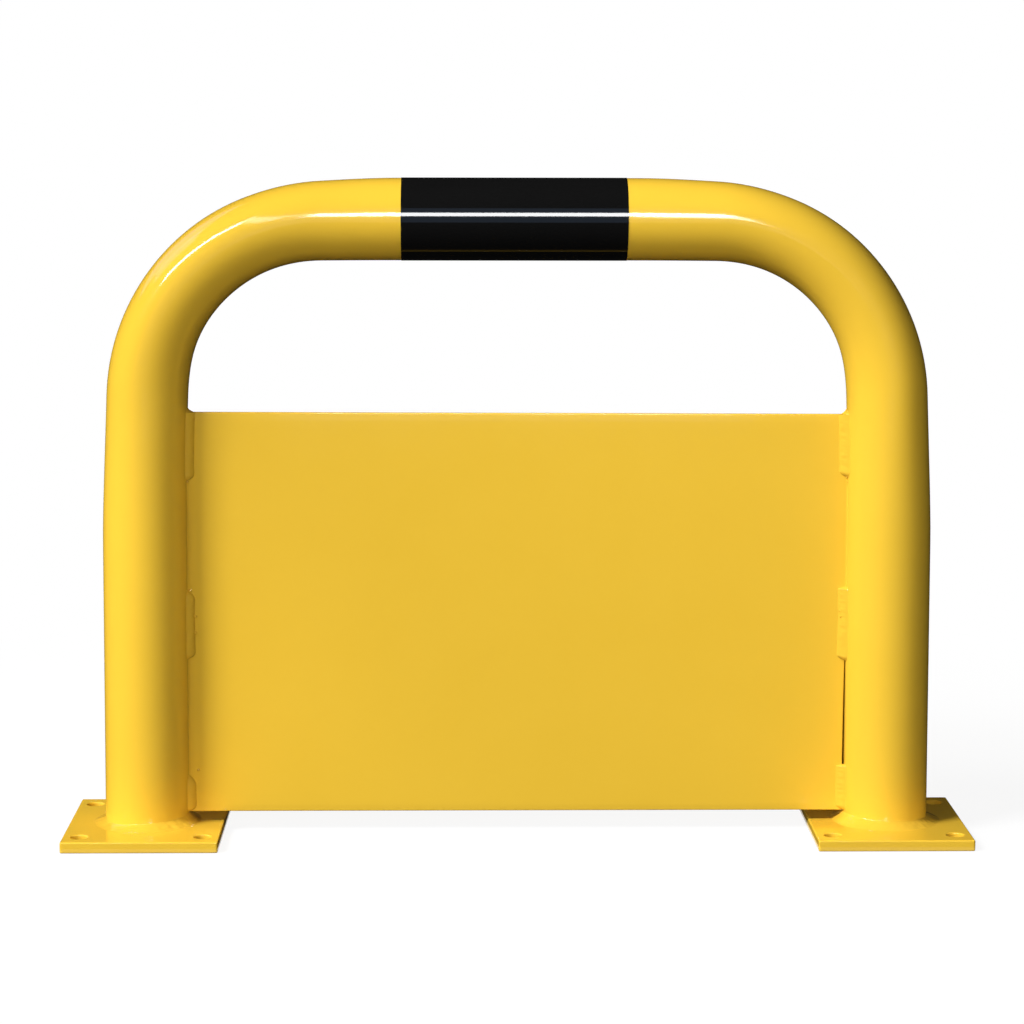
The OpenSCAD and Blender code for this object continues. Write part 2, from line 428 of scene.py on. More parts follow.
def sheet_columns():
    """Columns as (side, distance from that side's edge in metres) or (None, share of the way across)."""
    near = [(-1, d * MM) for d in EDGE_STEPS]
    far = [(1, d * MM) for d in reversed(EDGE_STEPS)]
    return near + [(None, k / SHEET_COLUMNS) for k in range(1, SHEET_COLUMNS)] + far


def sheet_rows():
    """Shares of the height, close together at the free edges and at the slot's ends."""
    tall = sheet_high.z - sheet_low.z
    rows = {k / SHEET_ROWS for k in range(SHEET_ROWS + 1)}
    rows |= {d * MM / tall for d in EDGE_STEPS[1:5]} | {1 - d * MM / tall for d in EDGE_STEPS[1:5]}
    for end in (SLOT_LOW, SLOT_HIGH):
        rows |= {(end - sheet_low.z + d * MM) / tall for d in SLOT_STEPS}
    return sorted(rows)


print(len(sheet_columns()), "columns and", len(sheet_rows()), "rows")

# %% Close the sheet's two faces into one solid
CLEAR_OF_LEG = 1.0


def sheet_point(column, row, face):
    """One point of the front face (-1) or the back face (1)."""
    side, step = column
    height = sheet_low.z + row * (sheet_high.z - sheet_low.z)
    left, right = -sheet_edge(-1, height, face), sheet_edge(1, height, face)
    if side is None:
        x = left + EDGE_ZONE + (right - left - 2 * EDGE_ZONE) * step
        side, from_leg = 1, CLEAR_OF_LEG
    else:
        x = left + step if side < 0 else right - step
        from_leg = step
    top = sheet_high.z - sheet_drop(x)
    height = sheet_low.z + row * (top - sheet_low.z)
    from_end = min(height - sheet_low.z, top - height)
    depth = sheet_depth(side, from_leg, from_end, height, face)
    return Vector((x, face * depth + sheet_bow(x, height), height))


def build_sheet():
    columns, rows = sheet_columns(), sheet_rows()
    size = len(rows)
    points = [sheet_point(column, row, face) for face in (-1, 1) for column in columns for row in rows]
    back = len(columns) * size
    grid = ring_faces(len(columns), size, open_ring=True)
    faces = grid + [tuple(back + v for v in reversed(face)) for face in grid]
    rim = [i * size for i in range(len(columns))]
    rim += [(len(columns) - 1) * size + k for k in range(1, size)]
    rim += [i * size + size - 1 for i in range(len(columns) - 2, -1, -1)]
    rim += [k for k in range(size - 2, 0, -1)]
    for k, corner in enumerate(rim):
        after = rim[(k + 1) % len(rim)]
        faces.append((corner, after, back + after, back + corner))
    return make_piece("guard_sheet", points, faces, "panel_coat", ["underrun_panel"], crease=60)


guard_sheet = build_sheet()
print("guard sheet:", [round(d * 1000, 1) for d in guard_sheet.dimensions], "mm")

# %% [markdown]
# ## The foot welds
# A welder walks once round each foot and leaves a fillet of steel, puddle by puddle. Ground steel shows
# sharp ripples, but here a thick coat has flowed over them, so that the weld melts into the tube and
# into the plate, and only its larger lumps are left. The weld is a closed ring of sections. Each
# section is one curve that leaves the tube along the tube and arrives flat on the plate, pushed out by
# a slow wander and by soft lumps. Sculpting would do it too, but a few waves and noises give the same
# unevenness every time the script runs.

# %% Draw a weld's face that melts into both sides
SEAT = 0.04 * MM
SINK = 0.06 * MM


def melted_face(start, leave, end, arrive, steps):
    """Points on a curve from start to end. Leave and arrive say how far it follows each side."""
    face = []
    for k in range(steps + 1):
        t = k / steps
        face.append(start * (1 - t) ** 3 + (start + leave) * 3 * t * (1 - t) ** 2
                    + (end + arrive) * 3 * t ** 2 * (1 - t) + end * t ** 3)
    return face


fillet = melted_face(Vector((0, 8)), Vector((0, -3)), Vector((12, 0)), Vector((-4, 0)), 4)
print("plain fillet in mm:", [(round(p.x, 1), round(p.y, 1)) for p in fillet])

# %% Lay the weld round each foot
FOOT_STATIONS, FOOT_STEPS = 560, 20
FOOT_REACH, REACH_WANDER, REACH_FLUTTER = 11.4 * MM, 0.7 * MM, 0.5 * MM
FOOT_LEAVE, FOOT_ARRIVE, FOOT_RISE = 0.26, 0.30, 0.05

# Left and right foot: the climb up the tube, how much more it is to the right, and the wave's start.
FOOT_CLIMB = {-1: (5.9 * MM, 2.7 * MM, 0), 1: (7.4 * MM, -1.5 * MM, 1)}
CLIMB_WAVE = 0.4 * MM

# Left and right foot: the turn where the grit is worst. A turn of 0 points right, below 0 to the front.
GRIT_TURN = {-1: -1.0, 1: -0.75}
LUMP, LUMP_SCALE = 0.34 * MM, 55
BUMP, BUMP_SCALE = 0.26 * MM, 140
GRIT, GRIT_SCALE = 0.36 * MM, 240
LUMP_WAY = Vector((0.55, 0.83))


def foot_climb(side, turn):
    """How high the weld climbs the tube: on both feet higher towards the sheet than outside."""
    climb, more, start = FOOT_CLIMB[side]
    return climb + more * math.cos(turn) + CLIMB_WAVE * math.sin(3 * turn + start)


def foot_lump(side, place):
    """Height of a foot weld's lumps. The front right of each foot has grit on top of them."""
    lump = LUMP * noise.noise(place * LUMP_SCALE + Vector((side, 0, 0)))
    lump += BUMP * noise.noise(place * BUMP_SCALE)
    grit = GRIT * noise.noise(place * GRIT_SCALE + Vector((5, side, 2)))
    rough = max(0, math.cos(math.atan2(place.y, place.x) - GRIT_TURN[side])) ** 4
    return lump + grit * rough


def foot_ring(side, turn):
    """One section of a foot weld, as points (away from the tube's skin, up from the plate)."""
    wander = REACH_WANDER * math.sin(2 * turn + 0.7 + side) + REACH_FLUTTER * math.sin(5 * turn + side)
    reach, climb = FOOT_REACH + wander, foot_climb(side, turn)
    face = melted_face(Vector((-SINK, climb)), Vector((0, -FOOT_LEAVE * climb)), Vector((reach, -SINK)),
                       Vector((-FOOT_ARRIVE * reach, FOOT_RISE * climb)), FOOT_STEPS)
    ring = []
    for k, point in enumerate(face):
        away = TUBE + point.x
        place = Vector((away * math.cos(turn), away * math.sin(turn), point.y))
        push = foot_lump(side, place) * math.sin(math.pi * k / FOOT_STEPS) ** 0.8
        ring.append(point + LUMP_WAY * push)
    return [Vector((-SINK, -SINK))] + ring


def build_foot_weld(side, name):
    points = []
    for i in range(FOOT_STATIONS):
        turn = 2 * math.pi * i / FOOT_STATIONS
        for point in foot_ring(side, turn):
            away = TUBE + point.x
            x, y = side * LEG_X + away * math.cos(turn), away * math.sin(turn)
            points.append((x, y, PLATE_TOP + point.y))
    faces = ring_faces(FOOT_STATIONS, len(points) // FOOT_STATIONS, loop=True)
    return make_piece(name + "_bead", points, faces, "weld_coat", [name])


for side, name in ((-1, "left_foot_weld"), (1, "right_foot_weld")):
    bead = build_foot_weld(side, name)
    climb = max(v.co.z for v in bead.data.vertices) - PLATE_TOP
    print(bead.name, "stands", round(climb * 1000, 1), "mm high")

# %% [markdown]
# ## The stitch welds
# The sheet isn't welded all along. Short stitches hold it in the corner between sheet and tube: three
# in front at each leg, and two behind. Under the coat a stitch is a low round bead: it leaves the tube
# in a faint crease, bulges, and steps down to the sheet, and both its ends run out to a point. The top
# ones climb over the sheet's corner. All ten come from one helper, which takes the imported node's own
# box for its height, so each bead stays where its node is. In the photograph the middle ones start a
# few millimetres higher, and the two legs were welded differently: the beads at the left run in slowly
# from a point, and the flatter ones at the right start bluntly.

# %% Shape one section of a stitch
STITCH_REACH = {-1: 6.8 * MM, 1: 7.7 * MM}
STITCH_CLIMB = 6.5 * MM
STITCH_STEPS = 18

# Left and right leg: the way the bead leaves the tube, and the way it rises from the sheet.
STITCH_LEAVE = {-1: Vector((0.97, -0.25)), 1: Vector((0.86, -0.51))}
STITCH_ARRIVE = {-1: Vector((-0.35, 0.94)), 1: Vector((-0.60, 0.80))}

STITCH_LUMP, STITCH_LUMP_SCALE = 0.32 * MM, 170
STITCH_BUMP_SHARE, STITCH_BUMP_SCALE = 0.9, 420
STITCH_WAY = Vector((0.6, 0.8))


def stitch_ring(side, reach, climb, height, seed, level):
    """A section as points (distance from the leg's axis, depth). Level is its flat underside's depth."""
    seat = leg_inside(height) - SINK
    crest_depth = SHEET_HALF + climb
    crest = Vector((math.sqrt(seat ** 2 - crest_depth ** 2), crest_depth))
    toe = Vector((seat + SINK + reach, level))
    handle = 0.45 * (toe - crest).length
    face = melted_face(crest, STITCH_LEAVE[side] * min(handle, reach * 0.7), toe,
                       STITCH_ARRIVE[side] * min(handle, reach * 0.9), STITCH_STEPS)
    ring = [Vector((math.sqrt(seat ** 2 - level ** 2), level)),
            Vector((seat - 0.1 * MM, SHEET_HALF + climb / 2))]
    for k, point in enumerate(face):
        share = k / STITCH_STEPS
        belly = math.sin(math.pi * share) * min(1, reach / STITCH_REACH[side])
        lump = noise.noise(Vector((share * 1.9 + seed, seed * 1.7, height * STITCH_LUMP_SCALE)))
        bump = noise.noise(Vector((seed * 0.7, share, height * STITCH_BUMP_SCALE)))
        ring.append(point + STITCH_WAY * STITCH_LUMP * belly * (lump + STITCH_BUMP_SHARE * bump))
    return ring


print("steps round a stitch:", len(stitch_ring(1, STITCH_REACH[1], STITCH_CLIMB, 0.2, 0, SHEET_HALF)))

# %% Build the ten stitches
STITCH_RUN_IN, STITCH_RUN_OUT = {-1: 10 * MM, 1: 2.2 * MM}, 5.5 * MM
STITCH_STRIKE = 3.5 * MM
STITCH_STATION = 0.6 * MM
STITCH_WAVE, THINNEST, END_CLIMB = 0.08, 0.02, 0.4
CORNER_REACH, CORNER_POWER = 5 * MM, 1.8
CORNER_CLIMB, CORNER_LEVEL = 0.5, -0.7 * SHEET_HALF
HAIR = 0.05 * MM
SEED_STEP = 3.7


def stitch_size(side, height, low, high, sheet_top):
    """Reach and climb of a stitch at height, and the depth of its underside."""
    if height > sheet_top:
        share = (height - sheet_top) / (high - sheet_top + 0.3 * MM)
        climb = STITCH_CLIMB * (1 - (1 - CORNER_CLIMB) * share)
        return CORNER_REACH * (1 - share) ** CORNER_POWER, climb, CORNER_LEVEL
    wave = 1 + STITCH_WAVE * noise.noise(Vector((low * 31, height * 90, 0.5)))
    run_in = 1 if high > sheet_top else (high - height) / STITCH_RUN_IN[side]
    grown = min(1, max(THINNEST, min(run_in, (height - low) / STITCH_RUN_OUT)))
    size = math.sin(grown * math.pi / 2) ** 0.8
    reach = STITCH_REACH[side] * size * min(1, wave)
    return reach, STITCH_CLIMB * (END_CLIMB + (1 - END_CLIMB) * size), SHEET_HALF - SINK


def build_stitch(name, seed):
    low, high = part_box(name)
    side = 1 if low.x > 0 else -1
    face = 1 if high.y > SHEET_HALF * 2 else -1
    if "middle" in name:
        high.z += STITCH_STRIKE
    sheet_top = sheet_high.z - sheet_drop(side * sheet_edge(side, sheet_high.z))
    stations = max(40, round((high.z - low.z) / STITCH_STATION))
    heights = [low.z + (high.z - low.z) * i / stations for i in range(stations + 1)]
    if high.z > sheet_top:
        heights = sorted(heights + [sheet_top - HAIR, sheet_top + HAIR])
    points = []
    for height in heights:
        reach, climb, level = stitch_size(side, height, low.z, high.z, sheet_top)
        for point in stitch_ring(side, reach, climb, height, seed, level):
            points.append((side * (LEG_X - point.x), face * point.y, height))
    size = len(points) // len(heights)
    faces = ring_faces(len(heights), size)
    faces += [tuple(range(size)), tuple(range(len(points) - size, len(points)))]
    return make_piece(name + "_bead", points, faces, "weld_coat", [name])


stitch_names = sorted(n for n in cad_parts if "stitch" in n)
for number, name in enumerate(stitch_names):
    bead = build_stitch(name, number * SEED_STEP)
    print(bead.name, "is", round(bead.dimensions.z * 1000), "mm long")

# %% [markdown]
# ## Weld spatter
# Small drops of steel fly off a weld and freeze beside it. Under the coat they are round pimples about
# a millimetre across, and each catches a point of light. They are half balls, flattened a little and
# set on the sheet or on the bead, joined into one piece because nobody would ever move one alone.

# %% Scatter the spatter beside the stitches
DROP_DEPTH, DROP_HEIGHT = 0.8, 1.1
SPATTER = [
    # (across, up, height over the middle plane, radius), all in millimetres
    (-296.4, 222.0, 2.8, 1.5),
    (-291.9, 198.6, 2.5, 1.4),
    (-291.9, 183.4, 2.5, 1.3),
    (-298.4, 322.0, 2.4, 1.2),
    (293.4, 219.6, 3.0, 1.4),
    (293.2, 203.6, 3.6, 1.1),
    (294.0, 198.2, 4.2, 1.3),
    (298.2, 325.4, 2.6, 1.1),
    (298.8, 321.6, 2.4, 0.9),
    (-290.6, 57.0, 2.2, 1.2),
]


def build_spatter():
    drops = bmesh.new()
    for across, up, over, radius in SPATTER:
        added = bmesh.ops.create_uvsphere(drops, u_segments=16, v_segments=10, radius=radius * MM)
        middle = Vector((across, -over, up)) * MM
        for v in added["verts"]:
            v.co = Vector((v.co.x, v.co.y * DROP_DEPTH, v.co.z * DROP_HEIGHT)) + middle
    points = [v.co.copy() for v in drops.verts]
    faces = [tuple(v.index for v in face.verts) for face in drops.faces]
    drops.free()
    return make_piece("weld_spatter", points, faces, "weld_coat")


spatter = build_spatter()
print("drops of spatter:", len(SPATTER))

# %% [markdown]
# ## The black film
# The warning band is not paint: a strip of glossy black film is wrapped once round the bar, and its
# ends lap over each other at the back. It follows the tube's own section, so it uses the same ring
# helper with a small lift. Where it laps, the film climbs over its own thickness.

# %% Wrap the film round the bar
film_low, film_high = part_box("black_band")
FILM = film_high.z - hoop_high.z - SEAT
FILM_BODY, FILM_STEP = FILM * 0.9, FILM * 0.85
LAP = 14 * MM
LAP_AT = math.radians(128)
LAP_RAMP = 0.06
FILM_STEPS, FILM_ROWS = 150, 30


def film_layer(run, lift):
    """Points once round the bar and on to the lap's end, where the film lies on its own start."""
    layer = []
    for k in range(FILM_STEPS + 1):
        turn = LAP_AT + (2 * math.pi + LAP / TUBE) * k / FILM_STEPS
        over = min(1, max(0, (turn - LAP_AT - 2 * math.pi + LAP_RAMP) / LAP_RAMP))
        layer += tube_ring(run, lift + FILM_STEP * over, [turn])
    return layer


def build_film():
    points = []
    for i in range(FILM_ROWS + 1):
        run = HOOP_RUN / 2 + film_low.x + (film_high.x - film_low.x) * i / FILM_ROWS
        points += film_layer(run, SEAT) + film_layer(run, SEAT + FILM_BODY)[::-1]
    size = 2 * (FILM_STEPS + 1)
    faces = ring_faces(FILM_ROWS + 1, size)
    for start in (0, FILM_ROWS * size):
        for k in range(FILM_STEPS):
            faces.append((start + k, start + k + 1, start + size - 2 - k, start + size - 1 - k))
    return make_piece("black_film", points, faces, "band_film", ["black_band"], crease=40)


black_film = build_film()
print("film:", round(FILM * 1000, 2), "mm thick and", round(black_film.dimensions.x * 1000), "mm long")

# %% [markdown]
# ## Finishes
# All the steel wears one yellow powder coat, baked on as a plastic skin. Close up it isn't flat: the
# powder melts into a fine orange peel, it lies a little thicker in some places, which shifts its
# colour by a shade, and its gloss is broken by the finest grain. One helper makes such a skin from
# noises, and each surface gets its own amounts, because a rolled sheet takes the coat differently from
# a drawn tube or a rough weld. The welds' darker yellows are painted shade, though, since their faces
# turn up to the key lamp. A few smaller helpers add the nodes that every finish needs.

# %% Helpers that add nodes
def add_noise(nodes, links, place, scale, detail):
    """A noise over the piece's own place, with its features about 1 / scale metres wide."""
    made = nodes.new("ShaderNodeTexNoise")
    made.inputs["Scale"].default_value = scale
    made.inputs["Detail"].default_value = detail
    links.new(place.outputs["Object"], made.inputs["Vector"])
    return made.outputs[0]


def add_range(nodes, links, value, start, end, low=0, high=1):
    """A value that goes from low to high while the given one goes from start to end."""
    made = nodes.new("ShaderNodeMapRange")
    made.inputs["From Min"].default_value, made.inputs["From Max"].default_value = start, end
    made.inputs["To Min"].default_value, made.inputs["To Max"].default_value = low, high
    links.new(value, made.inputs["Value"])
    return made.outputs["Result"]


def add_math(nodes, links, operation, first, second):
    """What the operation makes of two values."""
    made = nodes.new("ShaderNodeMath")
    made.operation = operation
    links.new(first, made.inputs[0])
    links.new(second, made.inputs[1])
    return made.outputs["Value"]


def add_shader(nodes, kind, shade, strength=None):
    """A plain grey or white shader. An emission has a strength too."""
    made = nodes.new(kind)
    made.inputs["Color"].default_value = (shade, shade, shade, 1)
    if strength is not None:
        made.inputs["Strength"].default_value = strength
    return made.outputs[0]


def mix_shaders(nodes, links, share, first, second):
    """The first shader where share is 0, and the second where it is 1."""
    made = nodes.new("ShaderNodeMixShader")
    for source, target in zip((share, first, second), made.inputs):
        links.new(source, target)
    return made.outputs[0]


print("helpers for noises, ranges, maths, shaders and their mix are ready")

# %% Mix a powder coat
PATCH_SCALE, HAZE_SCALE, GRAIN_SCALE = 14, 45, 2600
HAZE_LOW, HAZE_HIGH = 0.3, 0.7
MICRON = 0.001 * MM


def powder_coat(name, thin, thick, gloss, peel, peel_scale, grain, shine=0.45):
    """A coat between two tints, with an orange peel and a grain given in thousandths of a millimetre."""
    coat = bpy.data.materials.new(name)
    coat.use_nodes = True
    nodes, links = coat.node_tree.nodes, coat.node_tree.links
    skin, place = nodes["Principled BSDF"], nodes.new("ShaderNodeTexCoord")
    tint = nodes.new("ShaderNodeMix")
    tint.data_type = "RGBA"
    tint.inputs["A"].default_value = (*thin, 1)
    tint.inputs["B"].default_value = (*thick, 1)
    links.new(add_noise(nodes, links, place, PATCH_SCALE, 3), tint.inputs["Factor"])
    links.new(tint.outputs["Result"], skin.inputs["Base Color"])
    haze = add_noise(nodes, links, place, HAZE_SCALE, 2)
    links.new(add_range(nodes, links, haze, HAZE_LOW, HAZE_HIGH, *gloss), skin.inputs["Roughness"])
    surface = None
    for scale, depth, detail in ((peel_scale, peel, 1), (GRAIN_SCALE, grain, 2)):
        bump = nodes.new("ShaderNodeBump")
        bump.inputs["Strength"].default_value = 1
        bump.inputs["Distance"].default_value = depth * MICRON
        links.new(add_noise(nodes, links, place, scale, detail), bump.inputs["Height"])
        if surface:
            links.new(surface.outputs["Normal"], bump.inputs["Normal"])
        surface = bump
    links.new(surface.outputs["Normal"], skin.inputs["Normal"])
    skin.inputs["IOR"].default_value = 1.5
    skin.inputs["Specular IOR Level"].default_value = shine
    return coat


YELLOW, DEEP_YELLOW = (0.93, 0.585, 0.050), (0.90, 0.560, 0.043)
# The welds' yellows are the coat's yellow made darker. This is painted shade, which keeps weld faces
# turned up to the key lamp from outshining the tube.
SHADED_WELD_YELLOW, DEEP_SHADED_WELD_YELLOW = (0.88, 0.540, 0.046), (0.85, 0.515, 0.040)
BLACK, PALE_BLACK = (0.0050, 0.0050, 0.0050), (0.0062, 0.0062, 0.0062)

finishes = {
    "tube_coat": powder_coat("yellow_tube_coat", YELLOW, DEEP_YELLOW, (0.08, 0.11), 10, 260, 1.0),
    "plate_coat": powder_coat("yellow_plate_coat", YELLOW, DEEP_YELLOW, (0.12, 0.16), 22, 220, 1.5),
    "panel_coat": powder_coat("yellow_sheet_coat", YELLOW, DEEP_YELLOW, (0.08, 0.10), 20, 330, 1.6),
    "weld_coat": powder_coat("yellow_weld_coat", SHADED_WELD_YELLOW, DEEP_SHADED_WELD_YELLOW, (0.08, 0.12), 26, 240,
                             1.0),
    "band_film": powder_coat("black_gloss_film", BLACK, PALE_BLACK, (0.05, 0.07), 8, 230, 0.3, shine=0.3),
}
for piece in pieces.values():
    piece.data.materials.append(finishes[piece["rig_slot"]])
print("finishes:", sorted(finishes))

# %% [markdown]
# The wall of the slot beside the right leg is tinted near black. This is painted shade, so that the slot
# reads as a black line. The sheet's own finish does it: it knows by its own place where the wall is,
# and changes its tint there.

# %% Paint shade on the slot's wall
# A near-black tint: painted shade on the slot's wall, not a colour of the steel.
SLOT_PAINTED_SHADE = (0.012, 0.010, 0.008)
SLOT_SHADE_STEPS = [
    # (axis, where the tint starts to change, where the painted shade is full)
    ("X", sheet_high.x - 4 * MM, sheet_high.x - 3.8 * MM),
    ("Y", -1.3 * MM, -1.0 * MM),
    ("Y", 1.8 * MM, 1.5 * MM),
    ("Z", SLOT_LOW, SLOT_LOW + 0.2 * MM),
    ("Z", SLOT_HIGH, SLOT_HIGH - 0.2 * MM),
]


def paint_slot_shade(coat):
    """Mixes a near-black painted shade into the sheet's finish, between its two faces and between the
    slot's ends.
    """
    nodes, links = coat.node_tree.nodes, coat.node_tree.links
    skin, place = nodes["Principled BSDF"], nodes.new("ShaderNodeTexCoord")
    axes = nodes.new("ShaderNodeSeparateXYZ")
    links.new(place.outputs["Object"], axes.inputs["Vector"])
    slot_shade_mask = None
    for axis, start, end in SLOT_SHADE_STEPS:
        step = add_range(nodes, links, axes.outputs[axis], start, end)
        slot_shade_mask = add_math(nodes, links, "MULTIPLY", slot_shade_mask, step) if slot_shade_mask else step
    tint = nodes.new("ShaderNodeMix")
    tint.data_type = "RGBA"
    tint.inputs["B"].default_value = (*SLOT_PAINTED_SHADE, 1)
    links.new(skin.inputs["Base Color"].links[0].from_socket, tint.inputs["A"])
    links.new(slot_shade_mask, tint.inputs["Factor"])
    links.new(tint.outputs["Result"], skin.inputs["Base Color"])


paint_slot_shade(finishes["panel_coat"])
print("sheet finish now has", len(finishes["panel_coat"].node_tree.nodes), "nodes")

# %% [markdown]
# ## Floor and light
# The object stands on a pale floor before a white background. The floor has to look white to the
# camera and still keep the object's soft shadow, so it glows with most of its white and takes the rest
# from the lamps. For light that bounces it is a dark grey, or it would light the hoop from below.
# Towards its rim it fades into the white world, so no horizon shows from any side.

# %% Lay the floor
FLOOR_SIZE = 12
FLOOR_GLOW, FLOOR_PAINT = 0.91, 0.11
FLOOR_BOUNCE = 0.03
FADE_START, FADE_END = 0.55, 1.1


def build_floor():
    mesh = bpy.data.meshes.new("studio_floor")
    half = FLOOR_SIZE / 2
    corners = [(-half, -half, 0), (half, -half, 0), (half, half, 0), (-half, half, 0)]
    mesh.from_pydata(corners, [], [(0, 1, 2, 3)])
    floor = put_in_scene("studio_floor", mesh)
    return floor


def seen_by_eye(nodes, links):
    """1 where the camera or a mirror looks, and 0 where light only bounces."""
    light_path = nodes.new("ShaderNodeLightPath")
    mirrored = add_math(nodes, links, "MAXIMUM", light_path.outputs["Is Glossy Ray"],
                        light_path.outputs["Is Transmission Ray"])
    return add_math(nodes, links, "MAXIMUM", light_path.outputs["Is Camera Ray"], mirrored)


def floor_finish():
    made = bpy.data.materials.new("pale_floor")
    made.use_nodes = True
    nodes, links = made.node_tree.nodes, made.node_tree.links
    nodes.clear()
    output = nodes.new("ShaderNodeOutputMaterial")
    shadowed = nodes.new("ShaderNodeAddShader")
    links.new(add_shader(nodes, "ShaderNodeBsdfDiffuse", FLOOR_PAINT), shadowed.inputs[0])
    links.new(add_shader(nodes, "ShaderNodeEmission", 1, FLOOR_GLOW), shadowed.inputs[1])
    place = nodes.new("ShaderNodeTexCoord")
    length = nodes.new("ShaderNodeVectorMath")
    length.operation = "LENGTH"
    links.new(place.outputs["Object"], length.inputs[0])
    fade = add_range(nodes, links, length.outputs["Value"], FADE_START, FADE_END)
    fade.node.interpolation_type = "SMOOTHSTEP"
    white = add_shader(nodes, "ShaderNodeEmission", 1, 1)
    to_camera = mix_shaders(nodes, links, fade, shadowed.outputs[0], white)
    plain = add_shader(nodes, "ShaderNodeBsdfDiffuse", FLOOR_BOUNCE)
    either = mix_shaders(nodes, links, seen_by_eye(nodes, links), plain, to_camera)
    links.new(either, output.inputs["Surface"])
    return made


floor = build_floor()
floor.data.materials.append(floor_finish())
print("floor is", FLOOR_SIZE, "m wide")

# %% [markdown]
# The world is white where the camera or a mirror looks into it, and dim where it only lights the
# object, as in a studio whose walls are far away.

# %% Set the world
WORLD_LIGHT = 0.01


def set_world():
    world = bpy.data.worlds.new("white_studio")
    bpy.context.scene.world = world
    world.use_nodes = True
    nodes, links = world.node_tree.nodes, world.node_tree.links
    nodes.clear()
    background = nodes.new("ShaderNodeBackground")
    background.inputs["Color"].default_value = (1, 1, 1, 1)
    strength = add_range(nodes, links, seen_by_eye(nodes, links), 0, 1, WORLD_LIGHT, 1)
    links.new(strength, background.inputs["Strength"])
    output = nodes.new("ShaderNodeOutputWorld")
    links.new(background.outputs[0], output.inputs["Surface"])


set_world()
print("world lights the object at", WORLD_LIGHT)

# %% [markdown]
# The picture was cut out and laid on white, so its coat mirrors a dark hall and not the white behind
# it: the tube's edges are dark and clean. A photographer gets such edges in a white studio with black
# flags, big dark cards that stand out of the picture. Here they form a tent round the object with a
# cloth on its floor. Only mirror rays meet them, so they take no light away and don't show. Cloth is
# never quite black, so a trace of light comes back from it.

# %% Stand the black flags
TENT, TENT_TOP, TENT_FLOOR = 4.5, 5.0, 0.004
CLOTH_TRACE = 0.01


def build_flags():
    corners = [(-TENT, -TENT), (TENT, -TENT), (TENT, TENT), (-TENT, TENT)]
    points = [(x, y, z) for z in (TENT_FLOOR, TENT_TOP) for x, y in corners]
    faces = [(0, 1, 2, 3), (4, 5, 6, 7)] + [(k, (k + 1) % 4, (k + 1) % 4 + 4, k + 4) for k in range(4)]
    mesh = bpy.data.meshes.new("black_flags")
    mesh.from_pydata(points, [], faces)
    flags = put_in_scene("black_flags", mesh)
    flags.visible_camera = flags.visible_diffuse = flags.visible_transmission = False
    flags.visible_shadow = flags.visible_volume_scatter = False
    return flags


def flag_cloth():
    cloth = bpy.data.materials.new("black_cloth")
    cloth.use_nodes = True
    nodes, links = cloth.node_tree.nodes, cloth.node_tree.links
    nodes.clear()
    output = nodes.new("ShaderNodeOutputMaterial")
    links.new(add_shader(nodes, "ShaderNodeEmission", 1, CLOTH_TRACE), output.inputs["Surface"])
    return cloth


black_cloth = flag_cloth()
flags = build_flags()
flags.data.materials.append(black_cloth)
print("tent of flags:", 2 * TENT, "m wide")

# %% [markdown]
# Two kinds of lamp do the rest. The soft ones only shade: a key high on the left with a broad side lamp
# next to it shades the legs from left to right, two fills beside the camera open up the front, and a
# low one behind keeps the back from going black. The mirrored ones only draw highlights: a long thin
# line on the bar with a bluish haze round it, an arc on the left bend with a fainter link to the bar,
# and a sheen on that bend's shoulder from a window behind it, which is blue like the sky and so turns
# pale on the yellow coat. Keeping the two kinds apart means that each highlight can be moved without
# changing the shading, as a retoucher would lay them in separately.

# %% Hang the lamps
HOOP_MIDDLE, BAR_MIDDLE, SHOULDER = (0, 0, 0.3), (0, 0, 0.56), (-0.31, -0.03, 0.53)
HAZE_BLUE, SKY_BLUE = (0.45, 0.65, 1), (0.2, 0.25, 1)


def hang_lamp(name, place, aim, size, power, mirrored=False, tilt=0, tint=(1, 1, 1)):
    """An area lamp, size metres wide and high, tilted by degrees. A mirrored one draws highlights only."""
    light = bpy.data.lights.new(name, "AREA")
    light.shape = "RECTANGLE"
    light.size, light.size_y = size
    light.energy = power
    light.color = tint
    lamp = put_in_scene(name, light)
    lamp.location = place
    facing = (Vector(aim) - Vector(place)).to_track_quat("-Z", "Y")
    lamp.rotation_euler = (facing @ Quaternion((0, 0, 1), math.radians(tilt))).to_euler()
    lamp.visible_camera = False
    lamp.visible_glossy = mirrored
    lamp.visible_diffuse = not mirrored
    return lamp


